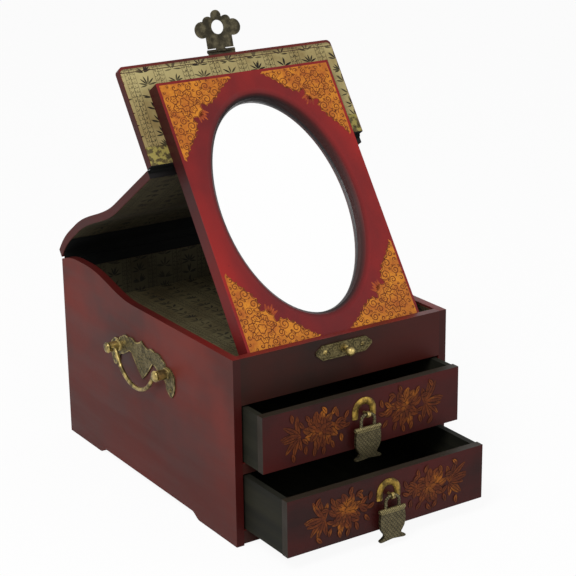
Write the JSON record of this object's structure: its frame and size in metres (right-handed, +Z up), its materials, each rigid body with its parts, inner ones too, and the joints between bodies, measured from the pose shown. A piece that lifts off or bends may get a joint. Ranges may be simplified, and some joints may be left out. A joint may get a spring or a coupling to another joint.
{
  "type": "vanity box with mirror",
  "caption": "Red lacquered wooden vanity box with a folding lid, a leaning oval mirror, drawers with fish-shaped pulls, a shallow tray and brass bail handles.",
  "frame": {"origin": "centre of the bounding box, at the level of the feet", "axes": "+Z up, -Y towards the front with the drawers and the mirror, +X to the right as seen from the front"},
  "size_m": [0.2264, 0.3507, 0.3783],
  "materials": {
    "case_lacquer": "worn semi-gloss lacquer",
    "dark_lacquer": "dark semi-gloss lacquer",
    "mirror_lacquer": "gloss lacquer with gilt line work",
    "drawer_lacquer": "lacquer with gilt scrolls",
    "plain_wood": "bare, oiled",
    "olive_wood": "matte stain",
    "paper": "matte printed paper",
    "mirror": "silvered glass",
    "dark_bronze": "dark patina",
    "aged_brass": "antique, rubbed"
  },
  "bodies": {
    "case": {"side_left": "case_lacquer", "side_right": "case_lacquer", "back_panel": "dark_lacquer", "apron": "dark_lacquer", "bottom_rail": "dark_lacquer", "middle_rail": "dark_lacquer", "bottom_board": "plain_wood", "drawer_shelf": "plain_wood", "tray_floor": "plain_wood", "tray_lining": "paper", "rear_hinge_case_leaves": "aged_brass", "rear_hinge_pins": "aged_brass", "foot_hinge_case_leaves": "aged_brass", "foot_hinge_pins": "aged_brass", "latch_plate": "aged_brass", "latch_knob": "aged_brass", "handle_plate_left": "aged_brass", "handle_posts_left": "aged_brass", "handle_plate_right": "aged_brass", "handle_posts_right": "aged_brass"},
    "rear_leaf": {"lid_rear": "case_lacquer", "lid_rear_lining": "paper", "rear_hinge_lid_leaves": "aged_brass", "fold_hinge_rear_leaves": "aged_brass", "fold_hinge_pins": "aged_brass"},
    "front_leaf": {"lid_front": "case_lacquer", "lid_front_lining": "paper", "fold_hinge_front_leaves": "aged_brass", "hasp_base": "dark_bronze", "hasp_pin": "dark_bronze"},
    "hasp": {"hasp_plate": "dark_bronze"},
    "mirror": {"mirror_frame": "mirror_lacquer", "mirror_glass": "mirror", "mirror_backing": "plain_wood", "foot_hinge_mirror_leaves": "aged_brass"},
    "upper_drawer": {"upper_front": "drawer_lacquer", "upper_side_left": "olive_wood", "upper_side_right": "olive_wood", "upper_back": "olive_wood", "upper_bottom": "olive_wood", "upper_shoe": "aged_brass", "upper_staple": "aged_brass"},
    "upper_pull": {"upper_fish": "aged_brass"},
    "lower_drawer": {"lower_front": "drawer_lacquer", "lower_side_left": "olive_wood", "lower_side_right": "olive_wood", "lower_back": "olive_wood", "lower_bottom": "olive_wood", "lower_shoe": "aged_brass", "lower_staple": "aged_brass"},
    "lower_pull": {"lower_fish": "aged_brass"},
    "left_bail": {"bail_left": "aged_brass"},
    "right_bail": {"bail_right": "aged_brass"}
  },
  "joints": [
    {"name": "lid_hinge", "type": "hinge", "parent": "case", "child": "rear_leaf", "pos_m": [0, 0.17236, 0.1605], "axis": [-1, 0, 0], "range_deg": [-34.7, 65]},
    {"name": "lid_fold", "type": "hinge", "parent": "rear_leaf", "child": "front_leaf", "pos_m": [0, 0.01017, 0.2725], "axis": [-1, 0, 0], "range_deg": [-65, 34.7]},
    {"name": "hasp_swing", "type": "hinge", "parent": "front_leaf", "child": "hasp", "pos_m": [0, 0.06211, 0.34637], "axis": [1, 0, 0], "range_deg": [-19, 71]},
    {"name": "mirror_tilt", "type": "hinge", "parent": "case", "child": "mirror", "pos_m": [0, -0.10064, 0.148], "axis": [1, 0, 0], "range_deg": [0, 34.71]},
    {"name": "upper_slide", "type": "slide", "parent": "case", "child": "upper_drawer", "axis": [0, -1, 0], "range_m": [-0.0267, 0.1433]},
    {"name": "lower_slide", "type": "slide", "parent": "case", "child": "lower_drawer", "axis": [0, -1, 0], "range_m": [-0.0586, 0.1114]},
    {"name": "upper_pull_swing", "type": "hinge", "parent": "upper_drawer", "child": "upper_pull", "pos_m": [0, -0.14114, 0.0972], "axis": [-1, 0, 0], "range_deg": [0, 80]},
    {"name": "lower_pull_swing", "type": "hinge", "parent": "lower_drawer", "child": "lower_pull", "pos_m": [0, -0.17304, 0.0416], "axis": [-1, 0, 0], "range_deg": [0, 80]},
    {"name": "left_bail_swing", "type": "hinge", "parent": "case", "child": "left_bail", "pos_m": [-0.1075, 0.03076, 0.111], "axis": [0, 1, 0], "range_deg": [0, 100]},
    {"name": "right_bail_swing", "type": "hinge", "parent": "case", "child": "right_bail", "pos_m": [0.1075, 0.03076, 0.111], "axis": [0, -1, 0], "range_deg": [0, 100]}
  ],
  "couplings": [
    {"joint": "lid_fold", "follows": "lid_hinge", "ratio": -1}
  ]
}
